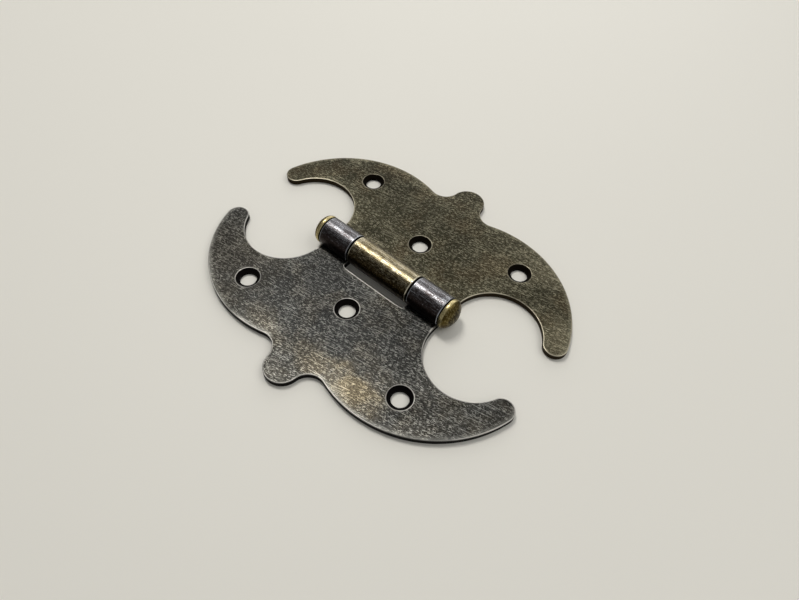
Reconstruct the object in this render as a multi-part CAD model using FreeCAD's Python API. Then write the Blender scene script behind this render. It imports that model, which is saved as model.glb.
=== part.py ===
import FreeCAD, Part
import math
import os

from FreeCAD import Vector

# Butterfly hinge lying open and flat, in millimetres. The pin runs along Y, the front leaf lies towards -X and
# the back leaf towards +X. Z is up, and Z = 0 is the plane of the leaves' backs, which the barrel just touches.

# Sheet and pin
sheet = 1.5                 # thickness of both leaves
pin_radius = 2.1
eye_clearance = 0.05        # radial play between the pin and the rolled eyes

# Barrel: a middle knuckle between two outer ones
barrel_half = 18.2          # middle of the barrel to the end of an outer knuckle
middle_half = 8.9           # half the length of the middle knuckle
knuckle_gap = 0.5           # between neighbouring knuckles
seam_gap = 0.35             # between a rolled end and the top of its own leaf
notch_clearance = 1.0       # between a knuckle and the other leaf's notch
knuckle_break = 0.2         # bevel of the knuckles' end edges

# Pin heads
head_gap = 0.3              # between a head and the outer knuckle beside it
head_rim = 0.55             # straight rim of a head, flush with the barrel
head_dome = 2.2             # height of the rounded end beyond the rim
head_shoulder = 1.3         # round between the rim and the crown

# Leaf outline, one quarter of the hinge, mirrored for the others
half_length = 43.85         # middle of the hinge to a wing tip
reach = 37.1                # pin axis to the end of the tail lobe
tail_radius = 4.3           # round end of the tail lobe
neck_radius = 4.0           # hollow between the tail lobe and a wing
wing_reach = 31.1           # pin axis to the farthest point of a wing's round edge
wing_radius = 27.55         # round outer edge of a wing
tip_radius = 2.8            # round end of a wing
mouth_half = 7.55           # plane of the pin to a wing tip
bay_centre_x = 4.35         # plane of the pin to the middle of the round bay between a wing and the barrel
edge_break = 0.2            # bevel of the stamped outline's top edge

# Countersunk screw holes
hole_radius = 2.0
countersink_radius = 2.9    # at the top face
countersink_depth = 0.65
wing_hole_x = 22.0
wing_hole_y = 23.65
tail_hole_x = 13.1

eye_radius = pin_radius + eye_clearance
barrel_radius = eye_radius + sheet
axis_height = barrel_radius
head_radius = barrel_radius
notch_x = barrel_radius + notch_clearance
outer_start = middle_half + knuckle_gap

ORIGIN = Vector(0, 0, 0)
ACROSS_X = Vector(1, 0, 0)
ACROSS_Y = Vector(0, 1, 0)
FULL_TURN = 2 * math.pi
MATCH = 1e-4                # how near two lengths are to count as the same


def at(centre, radius, angle):
    """The point of a level circle at an angle."""
    return centre + Vector(math.cos(angle), math.sin(angle), 0) * radius


def bearing(start, end):
    """The angle, from nothing to a full turn, of the line from one point to another."""
    return math.atan2(end.y - start.y, end.x - start.x) % FULL_TURN


def arc(centre, radius, first, last):
    """A level arc that runs straight from one angle to the other."""
    middle = at(centre, radius, (first + last) / 2)
    return Part.Arc(at(centre, radius, first), middle, at(centre, radius, last)).toShape()


def wing_centre(tip):
    """The centre of a wing's round edge, which the tip's round touches from inside."""
    centre_x = wing_reach - wing_radius
    to_tip = wing_radius - tip_radius
    return Vector(centre_x, tip.y - math.sqrt(to_tip ** 2 - (tip.x - centre_x) ** 2), 0)


def neck_centre(lobe, wing):
    """The centre of the neck's hollow, which touches the tail lobe and the wing's edge from outside."""
    to_lobe = tail_radius + neck_radius
    to_wing = wing_radius + neck_radius
    apart = lobe.distanceToPoint(wing)
    along = (to_wing ** 2 - to_lobe ** 2 + apart ** 2) / (2 * apart)
    aside = math.sqrt(to_wing ** 2 - along ** 2)
    forward = (lobe - wing).normalize()
    return wing + forward * along + Vector(-forward.y, forward.x, 0) * aside


def bay_radius(tip):
    """The radius of the bay that touches the barrel's end line and runs into the tip's round."""
    rise = tip.y - barrel_half
    aside = tip.x - bay_centre_x
    return (aside ** 2 + rise ** 2 - tip_radius ** 2) / (2 * (rise + tip_radius))


def quarter(bay_end_x):
    """A leaf's edges in the +X, +Y quarter, from the tail's end round the wing to where the bay ends."""
    tip = Vector(mouth_half + tip_radius, half_length - tip_radius, 0)
    wing = wing_centre(tip)
    lobe = Vector(reach - tail_radius, 0, 0)
    neck = neck_centre(lobe, wing)
    hollow = bay_radius(tip)
    bay = Vector(bay_centre_x, barrel_half + hollow, 0)
    bay_end = -math.acos((bay_end_x - bay_centre_x) / hollow)
    return [
        arc(lobe, tail_radius, 0, bearing(lobe, neck)),
        arc(neck, neck_radius, bearing(neck, lobe), bearing(neck, wing)),
        arc(wing, wing_radius, bearing(wing, neck) - FULL_TURN, bearing(wing, tip)),
        arc(tip, tip_radius, bearing(wing, tip), bearing(tip, bay)),
        arc(bay, hollow, bearing(bay, tip), bay_end),
    ]


def run(*corners):
    """Straight edges through the given corners, each an (x, y) pair."""
    points = [Vector(x, y, 0) for x, y in corners]
    return [Part.makeLine(start, end) for start, end in zip(points, points[1:])]


def screw_hole(x, y):
    """What a countersunk hole takes out of a leaf."""
    through = Part.makeCylinder(hole_radius, sheet, Vector(x, y, 0))
    mouth = Vector(x, y, sheet - countersink_depth)
    return through.fuse(Part.makeCone(hole_radius, countersink_radius, countersink_depth, mouth))


def plate(half_edges, tab_edge):
    """The flat sheet of a leaf on the +X side: half its outline, its mirror image and the edge that joins them."""
    mirrored = [edge.mirror(ORIGIN, ACROSS_Y) for edge in half_edges]
    outline = Part.Wire(Part.__sortEdges__(half_edges + [tab_edge] + mirrored))
    flat = Part.Face(outline).extrude(Vector(0, 0, sheet))
    worn = []
    for edge in flat.Edges:
        on_top = edge.BoundBox.ZMin > sheet - MATCH
        if on_top and edge.CenterOfMass.x > notch_x + MATCH:
            worn.append(edge)
    flat = flat.makeChamfer(edge_break, worn)
    holes = [screw_hole(tail_hole_x, 0)]
    for y in (-wing_hole_y, wing_hole_y):
        holes.append(screw_hole(wing_hole_x, y))
    return flat.cut(holes)


def knuckle(start_y, end_y):
    """A rolled eye that starts under the pin, where a leaf's tab ends, and curls back over it to the seam."""
    seam = -math.asin((axis_height - sheet - seam_gap) / barrel_radius)
    root = 1.5 * math.pi    # straight down, under the pin

    def point(radius, angle):
        return Vector(radius * math.cos(angle), start_y, axis_height + radius * math.sin(angle))

    def bend(radius):
        middle = point(radius, (seam + root) / 2)
        return Part.Arc(point(radius, seam), middle, point(radius, root)).toShape()

    section = Part.Wire([
        bend(barrel_radius),
        Part.makeLine(point(barrel_radius, root), point(eye_radius, root)),
        bend(eye_radius),
        Part.makeLine(point(eye_radius, seam), point(barrel_radius, seam)),
    ])
    eye = Part.Face(section).extrude(Vector(0, end_y - start_y, 0))
    ends = []
    for edge in eye.Edges:
        if isinstance(edge.Curve, Part.Circle) and abs(edge.Curve.Radius - barrel_radius) < MATCH:
            ends.append(edge)
    return eye.makeChamfer(knuckle_break, ends)


def make_front_leaf():
    """The leaf with two outer tabs, made on the +X side and mirrored to -X."""
    tab = run((bay_centre_x, barrel_half), (0, barrel_half), (0, outer_start), (notch_x, outer_start))
    across = run((notch_x, outer_start), (notch_x, -outer_start))[0]
    flat = plate(quarter(bay_centre_x) + tab, across)
    eyes = [knuckle(outer_start, barrel_half), knuckle(-barrel_half, -outer_start)]
    return flat.fuse(eyes).removeSplitter().mirror(ORIGIN, ACROSS_X)


def make_back_leaf():
    """The leaf with one middle tab, on the +X side, notched beside it for the other leaf's knuckles."""
    edges = quarter(notch_x)
    bay_end = edges[-1].Vertexes[-1].Point
    tab = run((notch_x, bay_end.y), (notch_x, middle_half), (0, middle_half))
    across = run((0, middle_half), (0, -middle_half))[0]
    flat = plate(edges + tab, across)
    return flat.fuse(knuckle(-middle_half, middle_half)).removeSplitter()


def make_hinge_pin():
    """The pin with a rounded head at each end, turned about the barrel's axis."""
    head_start = barrel_half + head_gap
    rim_end = head_start + head_rim
    top = rim_end + head_dome
    shoulder_x = head_radius - head_shoulder
    # Radius of the crown that runs smoothly into the shoulder, and the angle at which they meet
    crown = (shoulder_x ** 2 + head_dome ** 2 - head_shoulder ** 2) / (2 * (head_dome - head_shoulder))
    meet = math.atan2(crown - head_dome, shoulder_x)

    def point(x, y):
        return Vector(x, y, axis_height)

    corners = [
        point(head_radius, rim_end),
        point(head_radius, head_start),
        point(pin_radius, head_start),
        point(pin_radius, -head_start),
        point(head_radius, -head_start),
        point(head_radius, -rim_end),
    ]
    edges = [Part.makeLine(start, end) for start, end in zip(corners, corners[1:])]
    for way in (1, -1):
        edges.append(arc(point(shoulder_x, way * rim_end), head_shoulder, 0, way * meet))
        edges.append(arc(point(0, way * (top - crown)), crown, way * meet, way * math.pi / 2))
    edges.append(Part.makeLine(point(0, -top), point(0, top)))
    half = Part.Face(Part.Wire(Part.__sortEdges__(edges)))
    return half.revolve(Vector(0, 0, axis_height), ACROSS_Y, 360)


os.makedirs("parts", exist_ok=True)
pieces = {
    "front_leaf": make_front_leaf(),
    "back_leaf": make_back_leaf(),
    "hinge_pin": make_hinge_pin(),
}
for name, shape in pieces.items():
    shape.exportStep(os.path.join("parts", name + ".step"))
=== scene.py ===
"""Looks of a butterfly hinge: two stamped leaves with rolled knuckles on a riveted pin, in an antique finish.

Each leaf is drawn flat, as the sheet is stamped, and then its tabs are rolled. A point of the flat sheet is
(u, v, w): u across the pin, v along it and w up through the sheet, with u = 0 under the pin. Lengths are in
millimetres where nothing else is said, and become metres where a mesh, a lamp or the camera is placed.
"""

import math

import bpy
import numpy as np
from mathutils import Matrix, Vector
from mathutils.geometry import delaunay_2d_cdt


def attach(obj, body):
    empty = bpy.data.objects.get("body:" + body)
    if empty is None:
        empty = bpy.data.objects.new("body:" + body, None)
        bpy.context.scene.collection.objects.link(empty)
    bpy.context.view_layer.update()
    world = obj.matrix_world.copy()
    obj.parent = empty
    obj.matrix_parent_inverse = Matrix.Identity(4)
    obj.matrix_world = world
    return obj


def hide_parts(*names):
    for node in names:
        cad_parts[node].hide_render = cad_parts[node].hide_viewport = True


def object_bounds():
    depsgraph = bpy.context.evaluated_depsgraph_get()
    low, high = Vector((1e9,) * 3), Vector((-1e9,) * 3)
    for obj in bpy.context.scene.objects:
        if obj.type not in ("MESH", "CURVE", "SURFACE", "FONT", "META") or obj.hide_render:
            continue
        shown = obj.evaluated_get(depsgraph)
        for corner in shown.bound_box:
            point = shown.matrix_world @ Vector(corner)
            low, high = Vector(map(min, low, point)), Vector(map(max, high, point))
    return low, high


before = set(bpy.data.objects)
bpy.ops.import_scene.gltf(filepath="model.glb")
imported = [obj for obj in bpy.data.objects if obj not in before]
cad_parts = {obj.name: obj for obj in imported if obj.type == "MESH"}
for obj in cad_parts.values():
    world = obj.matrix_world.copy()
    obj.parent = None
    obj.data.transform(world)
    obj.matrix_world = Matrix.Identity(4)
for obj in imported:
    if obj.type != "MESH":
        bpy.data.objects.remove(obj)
cad_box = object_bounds()

MM = 0.001
FULL_TURN = 2 * math.pi

# Sheet, pin and barrel, as in the solids
SHEET = 1.5
PIN_RADIUS = 2.1
BARREL_RADIUS = 3.65
BARREL_HALF = 18.2
MIDDLE_HALF = 8.9
OUTER_START = 9.4
SEAM_GAP = 0.35
NOTCH_X = 4.65
HEAD_START = 18.5
HEAD_RIM = 0.55
HEAD_DOME = 2.2
HEAD_SHOULDER = 1.3

# Leaf outline, one quarter of the hinge
HALF_LENGTH = 43.85
REACH = 37.1
TAIL_RADIUS = 4.3
NECK_RADIUS = 4.0
WING_REACH = 31.1
WING_RADIUS = 27.55
TIP_RADIUS = 2.8
MOUTH_HALF = 7.55
BAY_CENTRE_X = 4.35

# Middles of a tip's round, of a wing's round edge and of the tail lobe
TIP = np.array([MOUTH_HALF + TIP_RADIUS, HALF_LENGTH - TIP_RADIUS])
WING_X = WING_REACH - WING_RADIUS
WING = np.array([WING_X, TIP[1] - math.sqrt((WING_RADIUS - TIP_RADIUS) ** 2 - (TIP[0] - WING_X) ** 2)])
LOBE = np.array([REACH - TAIL_RADIUS, 0.0])

# Countersunk screw holes
HOLE_RADIUS = 2.0
SINK_RADIUS = 2.9
SINK_DEPTH = 0.65
HOLES = ((13.1, 0.0), (22.0, 23.65), (22.0, -23.65))

# Turn of a rolled tab, from under the pin to its seam, and the flat length that it takes
SEAM_TURN = math.asin((BARREL_RADIUS - SHEET - SEAM_GAP) / BARREL_RADIUS)
ROLL_TURN = 1.5 * math.pi + SEAM_TURN
ROLL_LENGTH = BARREL_RADIUS * ROLL_TURN

# Fineness of the leaf meshes
ARC_STEP = 0.4              # along arcs, and on the straight edge that crosses the leaf's middle
ARC_LEAST = 4               # points of the shortest arc
ROLL_STEP = 0.3             # round a roll, and on the other straight edges
ROLL_ROWS = (-18, 18.1, 0.9)    # first, end and step of the points along a roll
GRID_STEP = 1.0             # on the plate
GRID_START = 0.3
GRID_CLEAR = 0.4            # from the inner points to the outline and the holes
HOLE_SIDES = 72
INSIDE_ONLY = 1             # the kind of triangles asked for
SAME_POINT = 1e-6

# Rounded corners of the tabs and notches: length taken on each side, and points
CORNER = 0.85
CORNER_POINTS = 8

# Section of a stamped edge as (distance in from the outline, height): sharp back, cut wall, rolled-over top
BACK_SECTION = [(0.35, 0.0), (0.17, 0.0), (0.09, 0.02), (0.02, 0.09), (0.0, 0.17), (0.0, 0.6), (0.0, 1.1)]
ROLLOVER_IN = 0.24
ROLLOVER_DOWN = 0.12
ROLLOVER_STEPS = 8
TOP_SUPPORT = 0.4
EASE_LEAST = 0.55           # share of the section's width at a sharp corner
EASE_RATE = 0.3             # its growth per millimetre from there

# Section of a screw hole as (radius, height), from the back to the top: back edge, bore, cone, rim
HOLE_SECTION = [
    (HOLE_RADIUS + 0.45, 0.0),
    (HOLE_RADIUS + 0.1, 0.0),
    (HOLE_RADIUS + 0.03, 0.03),
    (HOLE_RADIUS, 0.1),
    (HOLE_RADIUS, SHEET - SINK_DEPTH - 0.05),
    (HOLE_RADIUS + 0.01, SHEET - SINK_DEPTH - 0.01),
    (HOLE_RADIUS + 0.06, SHEET - SINK_DEPTH + 0.05),
    (SINK_RADIUS - 0.09, SHEET - 0.07),
    (SINK_RADIUS - 0.03, SHEET - 0.03),
    (SINK_RADIUS + 0.05, SHEET - 0.006),
    (SINK_RADIUS + 0.14, SHEET),
    (SINK_RADIUS + 0.4, SHEET),
]

# Slow unevenness of a leaf, in waves of (turn per mm across, turn per mm along, times the leaf's phase)
RIPPLES = ((0.17, 0.11, 1.0), (-0.13, 0.23, 2.1), (0.31, 0.05, 3.7))
RIPPLE_HEIGHT = 0.03
RIPPLE_FULL = 6             # distance from the pin where it is full

# Half section of the pin as (distance from the middle, radius), from the middle to the start of a head's rim
PIN_SECTION = [
    (0.0, PIN_RADIUS),
    (6.0, PIN_RADIUS),
    (12.0, PIN_RADIUS),
    (HEAD_START - 0.1, PIN_RADIUS),
    (HEAD_START, PIN_RADIUS + 0.1),
    (HEAD_START, 2.8),
    (HEAD_START, BARREL_RADIUS - 0.15),
    (HEAD_START + 0.02, BARREL_RADIUS - 0.06),
    (HEAD_START + 0.07, BARREL_RADIUS),
]
PIN_SIDES = 96
SHOULDER_POINTS = 14
CROWN_POINTS = 18
CROWN_END = 0.49 * math.pi  # just short of the pole
# Hammer dents of the heads, in waves of (turns round the pin, turn per mm of radius, turn per mm along)
DENTS = ((3, 1.9, 1.0), (5, -1.3, 0.7))
DENT_DEPTH = 0.02


def turned(centre, radius, angle):
    """The point of a circle at an angle."""
    return np.array([centre[0] + radius * math.cos(angle), centre[1] + radius * math.sin(angle)])


def bearing(start, end):
    """The angle, from nothing to a full turn, of the line from one point to another."""
    return math.atan2(end[1] - start[1], end[0] - start[0]) % FULL_TURN


def arc(centre, radius, first, last):
    """Points of an arc, without its last one."""
    count = max(ARC_LEAST, math.ceil(abs(last - first) * radius / ARC_STEP))
    return [turned(centre, radius, a) for a in np.linspace(first, last, count, endpoint=False)]


def quarter(bay_end_x):
    """A leaf's edge from the tail's end round the wing to where the bay ends."""
    apart = np.linalg.norm(LOBE - WING)
    to_lobe = TAIL_RADIUS + NECK_RADIUS
    to_wing = WING_RADIUS + NECK_RADIUS
    along = (to_wing**2 - to_lobe**2 + apart**2) / (2 * apart)
    ahead = (LOBE - WING) / apart
    neck = WING + ahead * along + np.array([-ahead[1], ahead[0]]) * math.sqrt(to_wing**2 - along**2)
    rise = TIP[1] - BARREL_HALF
    aside = TIP[0] - BAY_CENTRE_X
    hollow = (aside**2 + rise**2 - TIP_RADIUS**2) / (2 * (rise + TIP_RADIUS))
    bay = np.array([BAY_CENTRE_X, BARREL_HALF + hollow])
    bay_end = -math.acos((bay_end_x - BAY_CENTRE_X) / hollow)
    return [
        *arc(LOBE, TAIL_RADIUS, 0, bearing(LOBE, neck)),
        *arc(neck, NECK_RADIUS, bearing(neck, LOBE), bearing(neck, WING)),
        *arc(WING, WING_RADIUS, bearing(WING, neck) - FULL_TURN, bearing(WING, TIP)),
        *arc(TIP, TIP_RADIUS, bearing(WING, TIP), bearing(TIP, bay)),
        *arc(bay, hollow, bearing(bay, TIP), bay_end),
        turned(bay, hollow, bay_end),
    ]


def straight(points, corner):
    """Runs on from the last point to a corner, and gives the corner's place in the list."""
    start = points[-1]
    count = max(2, round(np.linalg.norm(np.subtract(corner, start)) / ROLL_STEP))
    points.extend(np.linspace(start, corner, count + 1)[1:])
    return len(points) - 1


def soften(points, corners):
    """The closed outline with its marked corners rounded."""
    loop = [np.asarray(p, float) for p in points]
    count = len(loop)
    gone, curves = set(), {}

    def walk(i, way):
        """The point a corner's length away, with all that it passes marked as gone."""
        length = 0.0
        while True:
            j = (i + way) % count
            step = np.linalg.norm(loop[j] - loop[i])
            if length + step > CORNER:
                return loop[i] + (loop[j] - loop[i]) * (CORNER - length) / step
            length += step
            gone.add(j)
            i = j

    for corner in corners:
        before, after, peak = walk(corner, -1), walk(corner, 1), loop[corner]
        bends = np.linspace(0, 1, CORNER_POINTS)[:, None]
        curves[corner] = before * (1 - bends) ** 2 + 2 * peak * bends * (1 - bends) + after * bends**2
    out = []
    for i, point in enumerate(loop):
        if i in curves:
            out.extend(curves[i])
        elif i not in gone:
            out.append(point)
    return np.array(out)


def leaf_outline(corners):
    """The flat leaf's outline: a quarter, straight runs through the tab's corners, and all of it mirrored."""
    half = quarter(corners[0][0])
    marks = [len(half) - 1] if corners[0][1] else []
    for corner in corners[1:]:
        marks.append(straight(half, corner))
    mirrored = [p * [1, -1] for p in half[:0:-1]]
    steps = round(abs(2 * half[-1][1]) / ARC_STEP)
    across = list(np.linspace(half[-1], mirrored[0], steps + 1)[1:-1])
    total = len(half) + len(across) + len(mirrored)
    marks += [total - i for i in marks]
    return soften(half + across + mirrored, marks)


def outward(loop):
    """The outward direction at each point of a closed outline."""
    along = np.roll(loop, -1, axis=0) - np.roll(loop, 1, axis=0)
    along /= np.linalg.norm(along, axis=1)[:, None]
    return np.stack([along[:, 1], -along[:, 0]], axis=1)


def inside(points, loop):
    """Which points lie inside a closed outline."""
    x, y = points[:, 0:1], points[:, 1:2]
    a, b = loop, np.roll(loop, -1, axis=0)
    crosses = (a[None, :, 1] > y) != (b[None, :, 1] > y)
    with np.errstate(divide="ignore", invalid="ignore"):
        at = (b[:, 0] - a[:, 0]) * (y - a[:, 1]) / (b[:, 1] - a[:, 1]) + a[:, 0]
    return (crosses & (x < at)).sum(axis=1) % 2 == 1


def nearest(points, loop):
    """The distance of each point from the nearest point of an outline."""
    return np.array([np.sqrt(((loop - p) ** 2).sum(axis=1).min()) for p in points])


def grid(loop, hole_keep):
    """Points inside a leaf's face: even ones on the plate, rows along the roll."""
    plate_u = np.arange(GRID_START, REACH, GRID_STEP)
    plate_v = np.arange(-HALF_LENGTH, HALF_LENGTH, GRID_STEP)
    flat = [(u + 0.5 * GRID_STEP * (k % 2), v) for k, v in enumerate(plate_v) for u in plate_u]
    roll_u = np.arange(-ROLL_LENGTH + ROLL_STEP, 0.0, ROLL_STEP)
    rolled = [(u, v) for u in roll_u for v in np.arange(*ROLL_ROWS)]
    points = np.array(flat + rolled)
    points = points[inside(points, loop)]
    points = points[nearest(points, loop) > GRID_CLEAR]
    for u, v in HOLES:
        points = points[np.hypot(points[:, 0] - u, points[:, 1] - v) > hole_keep + GRID_CLEAR]
    return points


def fill(loop, hole_loops, hole_keep):
    """The points added between the outline and the holes, and triangles of the loops' points and these."""
    edges, points = [], []
    for ring in [loop, *hole_loops]:
        start, count = len(points), len(ring)
        points.extend(ring)
        edges.extend((start + i, start + (i + 1) % count) for i in range(count))
    fixed = len(points)
    points.extend(grid(loop, hole_keep))
    made = delaunay_2d_cdt([Vector(p) for p in points], edges, [], INSIDE_ONLY, SAME_POINT)
    made_points, faces, sources = made[0], made[2], made[3]
    index = [s[0] for s in sources]
    triangles = []
    for face in faces:
        middle = sum((made_points[i] for i in face), Vector((0, 0))) / len(face)
        if all((middle - Vector(h)).length > hole_keep for h in HOLES):
            triangles.append([index[i] for i in face])
    return np.array(points[fixed:]), triangles


def ripple(u, v, phase):
    """Slow unevenness of stamped sheet, from -1 to 1."""
    waves = [np.sin(across * u + along * v + times * phase) for across, along, times in RIPPLES]
    return sum(waves) / len(waves)


def roll(points):
    """Moves points of the flat sheet to where they are on the leaf with its tabs rolled."""
    u, v, w = points.T
    turn = np.maximum(-u, 0) / BARREL_RADIUS
    radius = BARREL_RADIUS - w
    x = np.maximum(u, 0) - radius * np.sin(turn)
    z = np.where(u > 0, w, BARREL_RADIUS - radius * np.cos(turn))
    return np.stack([x, v, z], axis=1)


def cells(start, rings, count):
    """The corners (low, low next, high, high next) of each face between neighbouring rings of points."""
    for k in range(rings - 1):
        low, high = start + k * count, start + (k + 1) * count
        for i in range(count):
            j = (i + 1) % count
            yield low + i, low + j, high + i, high + j


def link(thing):
    """Puts an object into the scene."""
    bpy.context.scene.collection.objects.link(thing)


def add_values(mesh, name, kind, field, values):
    """Keeps a value for each point of a mesh, for its material."""
    layer = mesh.attributes.new(name, kind, "POINT")
    layer.data.foreach_set(field, np.asarray(values, np.float32).ravel())


def make_mesh(name, points, faces):
    """A smooth-shaded object of points in millimetres."""
    mesh = bpy.data.meshes.new(name)
    mesh.from_pydata([tuple(p) for p in points * MM], [], faces)
    mesh.polygons.foreach_set("use_smooth", [True] * len(mesh.polygons))
    mesh.update()
    piece = bpy.data.objects.new(name, mesh)
    link(piece)
    return piece


def edge_rings(outline, corners):
    """Rings of the stamped edge from the back to the top, each as its points and its distance in."""
    normals = outward(outline)
    section = list(BACK_SECTION)
    for t in np.linspace(0, math.pi / 2, ROLLOVER_STEPS):
        section.append((ROLLOVER_IN * (1 - math.cos(t)), SHEET - ROLLOVER_DOWN * (1 - math.sin(t))))
    section.append((TOP_SUPPORT, SHEET))
    sharp = np.array([c for c in corners if c[1]] + [(c[0], -c[1]) for c in corners if c[1]], float)
    ease = np.clip(EASE_LEAST + EASE_RATE * (nearest(outline, sharp) - CORNER), EASE_LEAST, 1.0)
    rings = []
    for inset, height in section:
        ring = outline - normals * (inset * ease)[:, None]
        rings.append(([(u, v, height) for u, v in ring], inset))
    return rings


def make_leaf(name, corners, mirror, phase):
    """One leaf: a stamped sheet with a rolled-over top edge, countersunk holes and rolled tabs."""
    outline = leaf_outline(corners)
    count = len(outline)
    rings = edge_rings(outline, corners)
    flat, edge = [], []
    for ring, inset in rings:
        flat.extend(ring)
        edge.extend([inset] * count)
    faces = [(a, b, d, c) for a, b, c, d in cells(0, len(rings), count)]
    bottom_loop = list(range(count))
    top_loop = list(range((len(rings) - 1) * count, len(rings) * count))
    sides = np.linspace(0, FULL_TURN, HOLE_SIDES, endpoint=False)
    bottoms, tops = [], []
    for hole in HOLES:
        start = len(flat)
        for radius, height in HOLE_SECTION:
            flat.extend((*turned(hole, radius, a), height) for a in sides)
        faces.extend((b, a, c, d) for a, b, c, d in cells(start, len(HOLE_SECTION), HOLE_SIDES))
        bottoms.append(list(range(start, start + HOLE_SIDES)))
        tops.append(list(range(len(flat) - HOLE_SIDES, len(flat))))
    for loop, hole_loops, height, keep, up in (
        (bottom_loop, bottoms, 0.0, HOLE_SECTION[0][0], False),
        (top_loop, tops, SHEET, HOLE_SECTION[-1][0], True),
    ):
        place = np.array(flat)[:, :2]
        extra, triangles = fill(place[loop], [place[r] for r in hole_loops], keep)
        lookup = [*loop, *[i for r in hole_loops for i in r], *range(len(flat), len(flat) + len(extra))]
        flat.extend((u, v, height) for u, v in extra)
        for triangle in triangles:
            face = [lookup[i] for i in triangle]
            faces.append(face if up else face[::-1])
    flat = np.array(flat)
    edge = np.concatenate([edge, nearest(flat[len(edge):, :2], outline)])
    hole = np.min([np.hypot(flat[:, 0] - u, flat[:, 1] - v) - SINK_RADIUS for u, v in HOLES], axis=0)
    shaped = flat.copy()
    on_plate = np.clip(flat[:, 0] / RIPPLE_FULL, 0, 1)
    shaped[:, 2] += RIPPLE_HEIGHT * ripple(flat[:, 0], flat[:, 1], phase) * on_plate * (flat[:, 2] / SHEET)
    points = roll(shaped)
    if mirror:
        points[:, 0] *= -1
        faces = [face[::-1] for face in faces]
    piece = make_mesh(name, points, faces)
    add_values(piece.data, "sheet", "FLOAT_VECTOR", "vector", flat)
    add_values(piece.data, "edge", "FLOAT", "value", edge)
    add_values(piece.data, "hole", "FLOAT", "value", hole)
    return piece


def make_pin():
    """The pin, turned about the barrel's axis: a shank with a rim, a shoulder and a crown at each end."""
    rim_end = HEAD_START + HEAD_RIM
    top = rim_end + HEAD_DOME
    shoulder_x = BARREL_RADIUS - HEAD_SHOULDER
    crown = (shoulder_x**2 + HEAD_DOME**2 - HEAD_SHOULDER**2) / (2 * (HEAD_DOME - HEAD_SHOULDER))
    meet = math.atan2(crown - HEAD_DOME, shoulder_x)
    half = list(PIN_SECTION)
    for t in np.linspace(0, meet, SHOULDER_POINTS):
        half.append((rim_end + HEAD_SHOULDER * math.sin(t), shoulder_x + HEAD_SHOULDER * math.cos(t)))
    for t in np.linspace(meet, CROWN_END, CROWN_POINTS)[1:]:
        half.append((top - crown + crown * math.sin(t), crown * math.cos(t)))
    section = [(-y, r) for y, r in half[:0:-1]] + half
    points = []
    for y, r in section:
        beaten = max(abs(y) - rim_end, 0) / HEAD_DOME
        for k in range(PIN_SIDES):
            a = FULL_TURN * k / PIN_SIDES
            waves = sum(math.sin(turns * a + out * r + along * y) for turns, out, along in DENTS)
            dent = abs(DENT_DEPTH * beaten * waves)
            points.append((r * math.cos(a), y - math.copysign(dent, y), BARREL_RADIUS + r * math.sin(a)))
    faces = [(a, c, d, b) for a, b, c, d in cells(0, len(section), PIN_SIDES)]
    last = (len(section) - 1) * PIN_SIDES
    points.append((0, -top, BARREL_RADIUS))
    points.append((0, top, BARREL_RADIUS))
    for i in range(PIN_SIDES):
        j = (i + 1) % PIN_SIDES
        faces.append((len(points) - 2, i, j))
        faces.append((last + i, len(points) - 1, last + j))
    piece = make_mesh("hinge_pin_rivet", np.array(points), faces)
    radii = [r for y, r in section for _ in range(PIN_SIDES)] + [0.0, 0.0]
    add_values(piece.data, "radius", "FLOAT", "value", radii)
    return piece


# Layers of scratches as (direction in degrees, length of a cell, width, share of cells with one, how bright)
SCRATCHES = [
    (88, 1.3, 0.09, 0.24, 1.0),
    (80, 1.1, 0.1, 0.24, 1.0),
    (72, 1.2, 0.09, 0.24, 1.0),
    (64, 1.0, 0.09, 0.22, 0.95),
    (54, 0.9, 0.09, 0.2, 0.95),
    (102, 0.9, 0.09, 0.2, 0.9),
    (128, 0.9, 0.09, 0.16, 0.9),
    (84, 0.5, 0.09, 0.8, 0.22),
    (58, 0.5, 0.09, 0.8, 0.22),
    (78, 7.0, 0.1, 0.3, 0.8),
]
ALONG_PIN = 90              # the pin's direction in degrees
CUT_LAYERS = 2              # the first layers are also cut into the surface
LAYER_SEED = 7.3            # between one layer's seed and the next
SEED_ALONG = 3.1            # how far a seed moves a layer along, for one across
CELL_WIDTH = 3.0            # in widths of the scratch
DASH_FIRST = (0.35, 0.2, 0)     # least place of a scratch's middle, in shares of its cell
DASH_RANGE = (0.3, 0.6, 0)  # and the range of its places
DASH_ENDS = (0.35, 0.18)    # where it fades along its length, in shares of its cell
DASH_SIDES = (1.3, 0.6)     # where it fades across, in half widths
BEND_SCALE = 0.03           # slow bend of all scratches
BEND_REACH = 2.6

# Noises of a leaf's plating as (place of its own, scale, detail, roughness, stretch across, along and up)
EVEN = (1.0, 1.0, 1.0)
NOISES = {
    "cloud": (31, 0.06, 3.0, 0.55, EVEN),
    "patch": (57, 0.26, 3.0, 0.55, EVEN),
    "mottle": (83, 1.1, 3.0, 0.6, EVEN),
    "grain": (11, 4.2, 2.0, 0.6, EVEN),
    "pits": (211, 2.6, 1.0, 0.5, EVEN),
    "warm": (129, 0.1, 3.0, 0.6, EVEN),
    "ragged": (71, 1.2, 3.0, 0.65, (0.45, 1.3, 1.0)),
    "streak": (151, 1.0, 2.0, 0.6, (0.16, 3.2, 1.0)),
    "rings": (173, 1.0, 2.0, 0.6, (2.2, 0.17, 1.0)),
}

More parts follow.
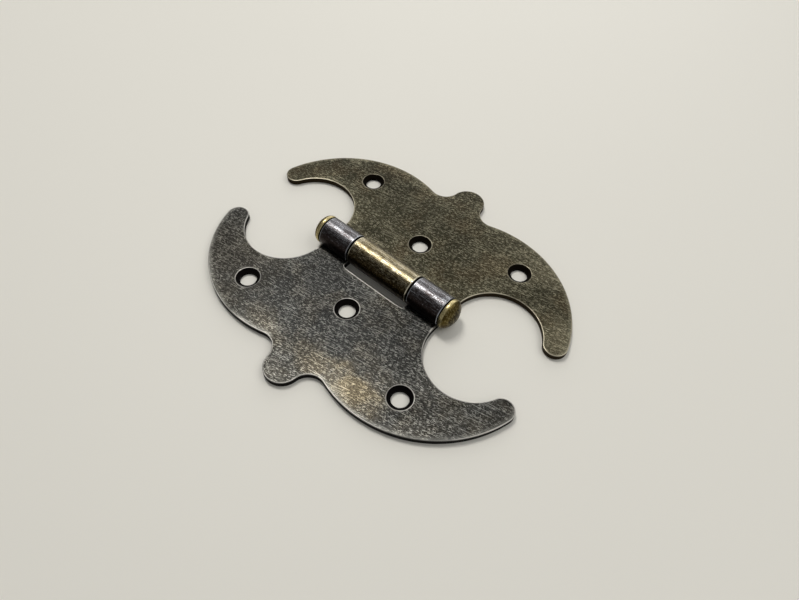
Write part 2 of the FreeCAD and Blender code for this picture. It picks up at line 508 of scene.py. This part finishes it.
# Soft steps of a leaf's plating: where they start and end, and what they give there if that isn't 0 and 1
RAMPS = {
    # By height in the sheet
    "top_face": (1.34, 1.43),
    "back_face": (0.2, 0.02),
    # By distance from a countersink's rim
    "past_sink": (-0.06, 0.0),
    "sink_rim": (0.24, 0.08),
    "cut_wall": (-0.1, 0.3),
    # By distance from the outline
    "edge_line": (0.3, 0.14),
    "edge_band": (1.2, 0.3),
    "edge_zone": (5.0, 0.4),
    "slot_line": (0.45, 0.32),
    # By distance from the middle of a wing's round edge
    "wing_inner": (WING_RADIUS - 2.0, WING_RADIUS - 1.3),
    "wing_outer": (WING_RADIUS + 0.5, WING_RADIUS),
    # By distance across the pin
    "slot": (NOTCH_X + 0.9, NOTCH_X + 0.5),
    "knuckle": (-1.0, -2.5),
    # By distance from the middle of a knuckle's lighter band, from rubbing and leaned to the lit side as
    # painted light, broken up by noise
    "crown": (5.2, 1.4),
    # By distance from the middle of a lighter place, in shares of its reach, broken up by noise
    "worn_place": (2.1, 0.9),
    # By noise
    "pits": (0.40, 0.30),
    "warm": (0.44, 0.66),
    "line_share": (0.36, 0.62, 0.3, 1.0),
    "band_share": (0.3, 0.6, 0.2, 0.7),
    "zone_share": (0.36, 0.62, 0.05, 0.45),
    "rim_share": (0.3, 0.6, 0.1, 0.45),
    "scratch_patch": (0.32, 0.62, 0.34, 0.5),
    "scratch_mottle": (0.34, 0.6, 0.85, 1.0),
    "fleck": (0.34, 0.62),
    "fleck_rings": (0.3, 0.6, 0.45, 1.0),
    "specks": (0.5, 0.66),
    "speck_mottle": (0.4, 0.6, 0.2, 0.7),
    "glint": (0.42, 0.66),
    # By the sum of what makes a face light
    "light": (0.0, 1.0),
}

# What makes a face light, a surface rough and a surface high, each as (gain, offset)
LIGHTNESS = {
    "cloud": (0.8, -0.1),
    "patch": (0.3, -0.15),
    "mottle": (0.2, -0.1),
    "grain": (1.9, -0.95),
    "worn": (0.25, 0.0),
}
ROUGHNESS = {
    "marks": (-0.06, 0.45),
    "mottle": (0.12, -0.06),
    "knuckle": (-0.11, 0.0),
    "edge_wear_and_highlight": (-0.08, 0.0),
    "open_face": (-0.3, 0.3),
}
RELIEF = {"grain": (0.5, 0.0), "grooves": (-0.2, 0.0), "knuckle_streak": (0.15, 0.0)}
RELIEF_DEPTH = 0.012

PLACE_RAGGED = 1.6          # how far noise breaks up a lighter place's border
LIGHTER_SCRATCHED = 0.5        # how much more scratched a lighter place is
PIT_BLACK = 0.4
# how strongly the slot's edge beside the barrel is painted bright: partly scuffing, partly a painted
# highlight
SLOT_HIGHLIGHT = 0.8
CROWN_RAGGED = (9.0, -4.5)  # gain and offset of the noise that breaks up a knuckle's rubbed band
CROWN_FLECKS = (0.75, 0.25)     # gain and offset of the flecks in it
# how much the scratches add to the painted highlight glints on a knuckle's crown
SCRATCH_GLINT = 0.7
CROWN_LEAN = 0.35           # turn of both leaves' lighter bands from the top towards the back leaf, the lit side: painted highlight there and painted shade on the camera's side

# The pin's plating
PIN_NOISES = {"patch": (0.5, 3.0, 0.55), "grain": (3.2, 3.0, 0.6), "scratch": (1.0, 1.0, 0.4)}
PIN_SCRATCHES = (15, 80, 140)
PIN_SCRATCH_SIZE = (1.2, 0.22, 1.0)
PIN_SCRATCH_SEED = 4.0
PIN_SCRATCH_STEP = (13.7, 5.3)
PIN_SCRATCHED = 0.2
PIN_RAMPS = {
    "scratch": (0.57, 0.7),
    "rim": (3.57, 3.64),
    "rim_share": (0.35, 0.6, 0.5, 1.0),
    "patch": (0.3, 0.7, 0.35, 0.65),
    "head": (2.2, 2.6),
}
PIN_GRAIN = (0.2, -0.1)
# how much lighter the heads' rims are painted, partly as a painted highlight
PIN_RIM_LIGHT = 0.3
PIN_ROUGHNESS = (-0.06, 0.38)
PIN_RELIEF_DEPTH = 0.008

# Colours of the plating, with warm ones for brown areas and roll ones for knuckles
GUNMETAL = {
    "warmth": 0.3,          # how brown the areas are that noise alone makes brown
    # black and wall: painted shade in the holes and on the cut walls; black also darkens the pits
    "black": (0.008, 0.007, 0.007),
    "wall": (0.009, 0.008, 0.0075),
    "dark": (0.0112, 0.0115, 0.0113),
    "light": (0.0325, 0.0331, 0.0318),
    # the next tone lightens scuffed places, partly as a painted highlight
    "worn": (0.062, 0.061, 0.055),
    "mark": (0.34, 0.342, 0.322),
    "dark_warm": (0.0145, 0.0122, 0.0085),
    "light_warm": (0.043, 0.0365, 0.026),
    "worn_warm": (0.125, 0.105, 0.07),
    "mark_warm": (0.42, 0.37, 0.265),
    # the next colour is a painted highlight inside a wing's round edge
    "rim": (0.135, 0.134, 0.123),
    # the next colour is exposed metal on scuffed edges, also painted on as a highlight along edges, round
    # countersinks and at the slot
    "bare_and_highlight": (0.50, 0.49, 0.46),
    # the next colour is patina low on a knuckle, partly painted shade on the camera's side
    "roll_dark": (0.028, 0.0195, 0.018),
    "roll": (0.095, 0.086, 0.087),
    # the next colour is for the painted highlight glints of a knuckle, and its scuffed edges
    "roll_bright": (0.58, 0.61, 0.66),
}
BRONZE = {
    "warmth": 0.6,
    "black": (0.008, 0.006, 0.004),
    "wall": (0.030, 0.021, 0.011),
    "dark": (0.0155, 0.0146, 0.0092),
    "light": (0.0505, 0.0474, 0.0296),
    "worn": (0.13, 0.121, 0.083),
    "mark": (0.49, 0.457, 0.325),
    "dark_warm": (0.024, 0.018, 0.010),
    "light_warm": (0.074, 0.058, 0.034),
    "worn_warm": (0.12, 0.098, 0.058),
    "mark_warm": (0.45, 0.385, 0.245),
    "rim": (0.15, 0.142, 0.102),
    "bare_and_highlight": (0.42, 0.39, 0.30),
    "roll_dark": (0.018, 0.011, 0.0045),
    "roll": (0.21, 0.165, 0.075),
    "roll_bright": (0.84, 0.785, 0.61),
}
BRASS = {"dark": (0.026, 0.018, 0.0045), "light": (0.15, 0.106, 0.027), "bare_and_highlight": (0.62, 0.53, 0.28)}

# Lighter places of the leaves as (middle, reach, turn in degrees, how much lighter, how warm): partly
# scuffing, partly a painted highlight where the lamp's reflection falls
FRONT_LIGHTER = [
    ((27.5, -14.5), (6.0, 10.5), -8.0, 0.75, 1.0),
    ((27.5, -4.0), (4.5, 7.5), 0.0, 0.4, 0.6),
    ((28.0, 11.0), (4.0, 11.0), 12.0, 0.3, 0.4),
    ((34.5, 0.0), (5.0, 6.5), 0.0, 0.5, 0.15),
    ((22.0, -33.0), (14.0, 3.5), 38.0, 0.6, 0.1),
    ((18.0, -25.0), (13.0, 15.0), 0.0, 0.3, 0.05),
    ((18.0, 32.0), (13.0, 16.0), 0.0, 0.0, 0.35),
]
BACK_LIGHTER = [
    ((12.0, -40.0), (7.0, 5.0), 20.0, 1.0, 0.3),
    ((25.0, -28.0), (5.0, 10.0), 40.0, 0.4, 0.2),
    ((25.0, -22.0), (12.0, 16.0), 20.0, 0.45, 0.1),
    ((32.0, 2.0), (7.0, 7.0), 0.0, 0.3, 0.1),
]


class Nodes:
    """A metal's node tree, built by short calls that return output sockets."""

    def __init__(self, name):
        self.material = bpy.data.materials.new(name)
        self.material.use_nodes = True
        self.tree = self.material.node_tree
        self.tree.nodes.clear()

    def node(self, kind, **settings):
        """A new node with the given settings."""
        made = self.tree.nodes.new(kind)
        for key, value in settings.items():
            setattr(made, key, value)
        return made

    def put(self, socket, value):
        """Links a socket to an input, or sets the input to a value."""
        if isinstance(value, bpy.types.NodeSocket):
            self.tree.links.new(value, socket)
        else:
            socket.default_value = value

    def attribute(self, name, output="Fac"):
        """A value that the mesh keeps."""
        return self.node("ShaderNodeAttribute", attribute_name=name).outputs[output]

    def math(self, operation, first, second=0.0, clamp=False):
        """Two numbers put together."""
        made = self.node("ShaderNodeMath", operation=operation, use_clamp=clamp)
        self.put(made.inputs[0], first)
        self.put(made.inputs[1], second)
        return made.outputs[0]

    def product(self, first, *others):
        """Numbers multiplied together."""
        for value in others:
            first = self.math("MULTIPLY", first, value)
        return first

    def scaled(self, value, gain, offset=0.0):
        """A number times a gain, plus an offset."""
        made = self.node("ShaderNodeMath", operation="MULTIPLY_ADD")
        self.put(made.inputs[0], value)
        made.inputs[1].default_value = gain
        made.inputs[2].default_value = offset
        return made.outputs[0]

    def total(self, values, weights):
        """The sum of named numbers, each with its gain and offset."""
        found = None
        for key, weight in weights.items():
            part = self.scaled(values[key], *weight)
            found = part if found is None else self.math("ADD", found, part)
        return found

    def vector(self, operation, *values, output="Vector"):
        """Vectors put together."""
        made = self.node("ShaderNodeVectorMath", operation=operation)
        for socket, value in zip(made.inputs, values):
            self.put(socket, value)
        return made.outputs[output]

    def split(self, vector):
        """A vector's three numbers."""
        made = self.node("ShaderNodeSeparateXYZ")
        self.put(made.inputs[0], vector)
        return made.outputs

    def place(self, vector, move=(0, 0, 0), turn=0.0, scale=EVEN):
        """A place as seen from a moved, turned and stretched frame."""
        made = self.node("ShaderNodeMapping", vector_type="TEXTURE")
        self.put(made.inputs["Vector"], vector)
        made.inputs["Location"].default_value = move
        made.inputs["Rotation"].default_value = (0, 0, turn)
        made.inputs["Scale"].default_value = scale
        return made.outputs[0]

    def noise(self, vector, scale, detail=2.0, rough=0.5, output="Fac"):
        """Smooth noise, mostly between 0.3 and 0.7."""
        made = self.node("ShaderNodeTexNoise")
        self.put(made.inputs["Vector"], vector)
        made.inputs["Scale"].default_value = scale
        made.inputs["Detail"].default_value = detail
        made.inputs["Roughness"].default_value = rough
        return made.outputs[output]

    def warped(self, vector, seed, scale, reach):
        """A place moved about by noise, so that marks drawn on it bend."""
        shift = self.noise(self.place(vector, (seed, 0, 0)), scale, output="Color")
        return self.vector("MULTIPLY_ADD", shift, (reach, reach, reach), vector)

    def step(self, value, low, high, to_low=0.0, to_high=1.0):
        """A soft step from one value to another."""
        made = self.node("ShaderNodeMapRange", interpolation_type="SMOOTHSTEP")
        self.put(made.inputs["Value"], value)
        made.inputs["From Min"].default_value = low
        made.inputs["From Max"].default_value = high
        made.inputs["To Min"].default_value = to_low
        made.inputs["To Max"].default_value = to_high
        return made.outputs[0]

    def mix(self, factor, first, second):
        """The first colour at 0 and the second at 1."""
        made = self.node("ShaderNodeMix", data_type="RGBA")
        self.put(made.inputs["Factor"], factor)
        colours = [s for s in made.inputs if s.type == "RGBA"]
        for socket, value in zip(colours, (first, second)):
            self.put(socket, value if isinstance(value, bpy.types.NodeSocket) else (*value, 1.0))
        return [s for s in made.outputs if s.type == "RGBA"][0]

    def dashes(self, vector, angle, length, width, share, seed):
        """Straight dashes of one direction, one to a cell of a turned grid, from 0 to 1."""
        cell = (length, CELL_WIDTH * width, 1.0)
        spot = self.place(vector, (seed, SEED_ALONG * seed, 0), math.radians(angle), cell)
        chance = self.node("ShaderNodeTexWhiteNoise", noise_dimensions="2D")
        self.put(chance.inputs["Vector"], self.vector("FLOOR", spot))
        middle = self.vector("MULTIPLY_ADD", chance.outputs["Color"], DASH_RANGE, DASH_FIRST)
        away = self.vector("SUBTRACT", self.vector("FRACTION", spot), middle)
        along, aside, _ = self.split(self.vector("ABSOLUTE", away))
        half = 0.5 / CELL_WIDTH
        sides = [half * side for side in DASH_SIDES]
        strength = self.step(self.split(chance.outputs["Color"])[2], 1 - share, 1.0)
        return self.product(self.step(along, *DASH_ENDS), self.step(aside, *sides), strength)

    def finish(self, colour, roughness, height, depth):
        """The finished metal, with a relief of the given depth."""
        shader = self.node("ShaderNodeBsdfPrincipled")
        self.put(shader.inputs["Base Color"], colour)
        self.put(shader.inputs["Roughness"], roughness)
        shader.inputs["Metallic"].default_value = 1.0
        bump = self.node("ShaderNodeBump")
        bump.inputs["Strength"].default_value = 1.0
        bump.inputs["Distance"].default_value = depth * MM
        self.put(bump.inputs["Height"], height)
        self.tree.links.new(bump.outputs[0], shader.inputs["Normal"])
        out = self.node("ShaderNodeOutputMaterial")
        self.tree.links.new(shader.outputs[0], out.inputs["Surface"])
        return self.material


def sheet_finish(name, seed, tones, crown_turn, lean, worn_places):
    """Antique plating on a leaf, with scratched faces and scuffed edges, painted shade in holes and on cut
    walls, and painted highlights.
    """
    n = Nodes(name)

    def ramp(value, which):
        """One of the soft steps."""
        return n.step(value, *RAMPS[which])

    place = n.attribute("sheet", "Vector")
    edge = n.attribute("edge")
    hole = n.attribute("hole")
    u, _, w = n.split(place)
    noise = {}
    for which, (spot, scale, detail, rough, stretch) in NOISES.items():
        noise[which] = n.noise(n.place(place, (seed, spot, 0), 0.0, stretch), scale, detail, rough)
    patch, mottle, grain = noise["patch"], noise["mottle"], noise["grain"]

    # Where there is a face to see, where it is scuffed, and where highlights are painted on
    face = n.math("MAXIMUM", ramp(w, "top_face"), ramp(w, "back_face"))
    open_face = n.product(face, ramp(hole, "past_sink"))
    # A bright line along every edge: partly scuffing, partly a painted highlight for light caught on the
    # rolled-over edge
    edge_wear_and_highlight = n.product(ramp(edge, "edge_line"), ramp(noise["cloud"], "line_share"))
    # A light ring round each countersink: partly rubbing of the plating, partly a painted highlight on the
    # rim
    rim = n.product(ramp(hole, "sink_rim"), ramp(patch, "rim_share"))
    # A lighter band inside a wing's round edge: a painted highlight standing in for light on a wider rolled
    # edge
    from_wing = n.place(n.vector("ABSOLUTE", place), (*WING, SHEET))
    from_wing = n.vector("LENGTH", from_wing, output="Value")
    on_wing = n.product(ramp(from_wing, "wing_inner"), ramp(from_wing, "wing_outer"))
    wing_edge_highlight = n.product(on_wing, ramp(edge, "edge_band"), ramp(patch, "band_share"))
    # Lighter near the edges and in the listed places: partly scuffing, partly a painted highlight where the
    # lamp's reflection falls on the leaf
    worn = n.product(ramp(edge, "edge_zone"), ramp(patch, "zone_share"))
    warm = n.step(noise["warm"], *RAMPS["warm"], 0.0, tones["warmth"])
    for spot, reach, turn, gain, warmth in worn_places:
        away = n.place(place, (*spot, SHEET), math.radians(turn), (*reach, 1.0))
        away = n.math("ADD", n.vector("LENGTH", away, output="Value"), n.scaled(patch, PLACE_RAGGED))
        near = ramp(away, "worn_place")
        worn = n.math("ADD", worn, n.scaled(near, gain), clamp=True)
        warm = n.math("MAXIMUM", warm, n.scaled(near, warmth))

    # Scratches: many short straight ones near the pin's direction, fewer across it, and some long hairs
    bent = n.warped(place, seed, BEND_SCALE, BEND_REACH)
    marks, grooves = None, None
    for k, (angle, length, width, share, gain) in enumerate(SCRATCHES):
        leaned = ALONG_PIN + lean * (angle - ALONG_PIN)
        dash = n.scaled(n.dashes(bent, leaned, length, width, share, seed + LAYER_SEED * k), gain)
        marks = dash if marks is None else n.math("MAXIMUM", marks, dash)
        if k + 1 == CUT_LAYERS:
            grooves = marks
    density = n.math("ADD", ramp(patch, "scratch_patch"), n.scaled(worn, LIGHTER_SCRATCHED))
    density = n.product(density, ramp(mottle, "scratch_mottle"))
    marks = n.math("MULTIPLY", marks, density, clamp=True)

    # Flat faces
    dark = n.mix(warm, tones["dark"], tones["dark_warm"])
    light = n.mix(warm, tones["light"], tones["light_warm"])
    light = n.mix(worn, light, n.mix(warm, tones["worn"], tones["worn_warm"]))
    plate = n.mix(ramp(n.total({**noise, "worn": worn}, LIGHTNESS), "light"), dark, light)
    plate = n.mix(n.scaled(ramp(noise["pits"], "pits"), PIT_BLACK), plate, tones["black"])
    plate = n.mix(wing_edge_highlight, plate, tones["rim"])
    plate = n.mix(marks, plate, n.mix(warm, tones["mark"], tones["mark_warm"]))
    # The slot's edge beside the barrel painted bright: partly scuffing, partly a painted highlight where the
    # rolled-over edge catches light
    slot = n.product(ramp(u, "slot"), ramp(edge, "slot_line"))
    plate = n.mix(n.math("MAXIMUM", rim, n.scaled(slot, SLOT_HIGHLIGHT)), plate, tones["bare_and_highlight"])

    # Knuckles: a ragged lighter band over the crown, dark and mottled low on the sides; partly rubbing and
    # patina, partly painted light and shade
    knuckle = ramp(u, "knuckle")
    # The band leans towards the lit side, so it is partly a painted highlight, and the low side towards the
    # camera partly painted shade
    from_crown = n.math("ABSOLUTE", n.math("ADD", u, crown_turn * BARREL_RADIUS))
    crown = ramp(n.math("ADD", from_crown, n.scaled(noise["ragged"], *CROWN_RAGGED)), "crown")
    fleck = n.product(ramp(grain, "fleck"), ramp(noise["rings"], "fleck_rings"))
    rub_and_highlight = n.product(crown, n.scaled(fleck, *CROWN_FLECKS))
    specks = n.product(ramp(grain, "specks"), ramp(mottle, "speck_mottle"))
    rolled = n.mix(n.math("MAXIMUM", rub_and_highlight, specks), tones["roll_dark"], tones["roll"])
    # Painted highlight: bright glints in streaks along the axis within the crown's band, coloured like the
    # lamp's reflection
    glint = n.product(ramp(noise["streak"], "glint"), fleck)
    glint = n.math("MAXIMUM", glint, n.scaled(marks, SCRATCH_GLINT))
    rolled = n.mix(n.product(crown, glint), rolled, tones["roll_bright"])

    colour = n.mix(knuckle, plate, rolled)
    # The edge line, painted in exposed-metal colour on the plate and bright on the knuckles: partly scuffing,
    # partly painted highlight
    colour = n.mix(edge_wear_and_highlight, colour, n.mix(knuckle, tones["bare_and_highlight"], tones["roll_bright"]))
    # Painted shade: the holes and the cut walls are coloured near black, the bronze leaf's cut walls dark
    # brown
    wall = n.mix(ramp(hole, "cut_wall"), tones["black"], tones["wall"])
    colour = n.mix(open_face, wall, colour)
    values = {**noise, "marks": marks, "knuckle": knuckle, "edge_wear_and_highlight": edge_wear_and_highlight, "open_face": open_face}
    values["grooves"] = grooves
    values["knuckle_streak"] = n.product(noise["streak"], knuckle)
    return n.finish(colour, n.total(values, ROUGHNESS), n.total(values, RELIEF), RELIEF_DEPTH)


def pin_finish(name):
    """Dark antique brass on the pin, lighter round the rims, partly from rubbing and partly as a painted
    highlight.
    """
    n = Nodes(name)
    place = n.vector("MULTIPLY", n.node("ShaderNodeTexCoord").outputs["Object"], (1 / MM, 1 / MM, 1 / MM))
    radius = n.attribute("radius")
    patch = n.noise(place, *PIN_NOISES["patch"])
    grain = n.noise(place, *PIN_NOISES["grain"])
    scratches = None
    for k, angle in enumerate(PIN_SCRATCHES):
        move = (PIN_SCRATCH_SEED + PIN_SCRATCH_STEP[0] * k, PIN_SCRATCH_STEP[1] * k, 0)
        spot = n.place(place, move, math.radians(angle), PIN_SCRATCH_SIZE)
        found = n.step(n.noise(spot, *PIN_NOISES["scratch"]), *PIN_RAMPS["scratch"])
        scratches = found if scratches is None else n.math("MAXIMUM", scratches, found)
    rim = n.step(radius, *PIN_RAMPS["rim"])
    tone = n.math("ADD", n.step(patch, *PIN_RAMPS["patch"]), n.scaled(grain, *PIN_GRAIN))
    # The heads' rim band painted lighter and in exposed-metal colour: partly rubbing, partly a painted
    # highlight
    tone = n.math("ADD", tone, n.scaled(rim, PIN_RIM_LIGHT))
    tone = n.math("MULTIPLY", tone, n.step(radius, *PIN_RAMPS["head"]), clamp=True)
    colour = n.mix(tone, BRASS["dark"], BRASS["light"])
    worn_rim = n.product(rim, n.step(grain, *PIN_RAMPS["rim_share"]))
    worn = n.math("MAXIMUM", n.scaled(scratches, PIN_SCRATCHED), worn_rim)
    colour = n.mix(worn, colour, BRASS["bare_and_highlight"])
    return n.finish(colour, n.scaled(worn, *PIN_ROUGHNESS), grain, PIN_RELIEF_DEPTH)


front = make_leaf(
    "front_leaf_sheet",
    [(BAY_CENTRE_X, 0), (-ROLL_LENGTH, BARREL_HALF), (-ROLL_LENGTH, OUTER_START), (NOTCH_X, OUTER_START)],
    mirror=True,
    phase=0.6,
)
back = make_leaf(
    "back_leaf_sheet",
    [(NOTCH_X, BARREL_HALF), (NOTCH_X, MIDDLE_HALF), (-ROLL_LENGTH, MIDDLE_HALF)],
    mirror=False,
    phase=1.9,
)
pin = make_pin()
front_metal = sheet_finish(
    "gunmetal_plating",
    seed=3.0,
    tones=GUNMETAL,
    crown_turn=math.pi - CROWN_LEAN,
    lean=1,
    worn_places=FRONT_LIGHTER,
)
back_metal = sheet_finish(
    "bronze_plating",
    seed=47.0,
    tones=BRONZE,
    crown_turn=math.pi + CROWN_LEAN,
    lean=-1,
    worn_places=BACK_LIGHTER,
)
front.data.materials.append(front_metal)
back.data.materials.append(back_metal)
pin.data.materials.append(pin_finish("brass_plating"))
for piece, body, node, slot in (
    (front, "front", "front_leaf", "gunmetal_sheet"),
    (back, "back", "back_leaf", "bronze_sheet"),
    (pin, "front", "hinge_pin", "brass_plated_pin"),
):
    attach(piece, body)
    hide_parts(node)

# Floor, just clear of the leaves' backs
FLOOR_HALF = 4              # metres
FLOOR_DROP = 0.02
FLOOR_COLOUR = (0.79, 0.78, 0.725, 1.0)
FLOOR_ROUGHNESS = 0.6
floor_corners = [(x * FLOOR_HALF, y * FLOOR_HALF, 0) for x, y in ((-1, -1), (1, -1), (1, 1), (-1, 1))]
floor_mesh = bpy.data.meshes.new("floor")
floor_mesh.from_pydata(floor_corners, [], [(0, 1, 2, 3)])
floor = bpy.data.objects.new("floor", floor_mesh)
floor.location.z = cad_box[0].z - FLOOR_DROP * MM
link(floor)
paper = bpy.data.materials.new("pale_floor")
paper.use_nodes = True
shade = paper.node_tree.nodes["Principled BSDF"]
shade.inputs["Base Color"].default_value = FLOOR_COLOUR
shade.inputs["Roughness"].default_value = FLOOR_ROUGHNESS
floor_mesh.materials.append(paper)

# World: wide soft glows as (direction, level), and a band of light at the horizon
GLOWS = [((0.70, 0.48, 0.53), 0.55), ((-0.60, -0.55, 0.58), 0.35), ((-0.60, 0.50, 0.62), 0.15)]
GLOW_SPREAD = (0.35, 0.95)  # cosine of the angle from a glow's middle: where it starts, and where it is full
GLOW_LEAST = 0.012
HORIZON_SPREAD = (0.55, 0.2)    # height at which the band starts, and at which it is full
HORIZON_LEVEL = 0.26
WORLD_COLOUR = (1.0, 0.99, 0.97, 1.0)
world = bpy.data.worlds.new("studio")
bpy.context.scene.world = world
world.use_nodes = True
tree = world.node_tree
sky = tree.nodes.new("ShaderNodeTexCoord").outputs["Generated"]


def sky_step(value, spread, least, most):
    """A soft step of the world's strength."""
    made = tree.nodes.new("ShaderNodeMapRange")
    made.interpolation_type = "SMOOTHSTEP"
    for socket, number in zip(("From Min", "From Max", "To Min", "To Max"), (*spread, least, most)):
        made.inputs[socket].default_value = number
    tree.links.new(value, made.inputs["Value"])
    return made.outputs[0]


above = tree.nodes.new("ShaderNodeSeparateXYZ")
tree.links.new(sky, above.inputs[0])
strength = sky_step(above.outputs["Z"], HORIZON_SPREAD, 0.0, HORIZON_LEVEL)
for direction, level in GLOWS:
    toward = tree.nodes.new("ShaderNodeVectorMath")
    toward.operation = "DOT_PRODUCT"
    tree.links.new(sky, toward.inputs[0])
    toward.inputs[1].default_value = Vector(direction).normalized()
    brighter = tree.nodes.new("ShaderNodeMath")
    brighter.operation = "MAXIMUM"
    tree.links.new(strength, brighter.inputs[0])
    tree.links.new(sky_step(toward.outputs["Value"], GLOW_SPREAD, GLOW_LEAST, level), brighter.inputs[1])
    strength = brighter.outputs[0]
tree.links.new(strength, tree.nodes["Background"].inputs["Strength"])
tree.nodes["Background"].inputs["Color"].default_value = WORLD_COLOUR

# Soft boxes that face the hinge, as (name, place, size, radiance, colour)
LAMPS = [
    ("overhead", (125, 260, 600), (120, 220), 21.0, (1.0, 0.97, 0.92)),
    ("far_side", (700, 350, 250), (600, 400), 1.3, (1.0, 0.98, 0.95)),
    ("near_side", (280, -365, 560), (540, 540), 1.4, (1.0, 0.98, 0.95)),
]
for name, place, size, radiance, colour in LAMPS:
    lamp_data = bpy.data.lights.new(name, "AREA")
    lamp_data.shape = "RECTANGLE"
    lamp_data.size, lamp_data.size_y = size[0] * MM, size[1] * MM
    lamp_data.energy = radiance * math.pi * lamp_data.size * lamp_data.size_y
    lamp_data.color = colour
    lamp = bpy.data.objects.new(name, lamp_data)
    lamp.location = Vector(place) * MM
    lamp.rotation_mode = "QUATERNION"
    lamp.rotation_quaternion = (-Vector(place)).to_track_quat("-Z", "Y")
    link(lamp)

# Camera, looking down across the front leaf to the back leaf
CAMERA_PLACE = (-65.913, -57.563, 111.853)
LOOK_TURN = math.radians(38.715)    # from +X towards +Y
LOOK_DOWN = math.radians(53.954)
CAMERA_TILT = math.radians(2.521)
LENS = 26.662
SENSOR_WIDTH = 36.0
CLIP = (0.005, 20.0)        # metres
camera_data = bpy.data.cameras.new("camera")
camera_data.sensor_fit = "HORIZONTAL"
camera_data.sensor_width = SENSOR_WIDTH
camera_data.lens = LENS
camera_data.clip_start, camera_data.clip_end = CLIP
camera = bpy.data.objects.new("camera", camera_data)
ahead = Vector((math.cos(LOOK_TURN), math.sin(LOOK_TURN), 0))
look = ahead * math.cos(LOOK_DOWN) - Vector((0, 0, math.sin(LOOK_DOWN)))
aside = Vector((math.sin(LOOK_TURN), -math.cos(LOOK_TURN), 0))
right = aside * math.cos(CAMERA_TILT) + aside.cross(look) * math.sin(CAMERA_TILT)
facing = Matrix((right, right.cross(look), -look)).transposed().to_4x4()
camera.matrix_world = Matrix.Translation(Vector(CAMERA_PLACE) * MM) @ facing
link(camera)
bpy.context.scene.camera = camera

bpy.context.scene.view_settings.view_transform = "Standard"
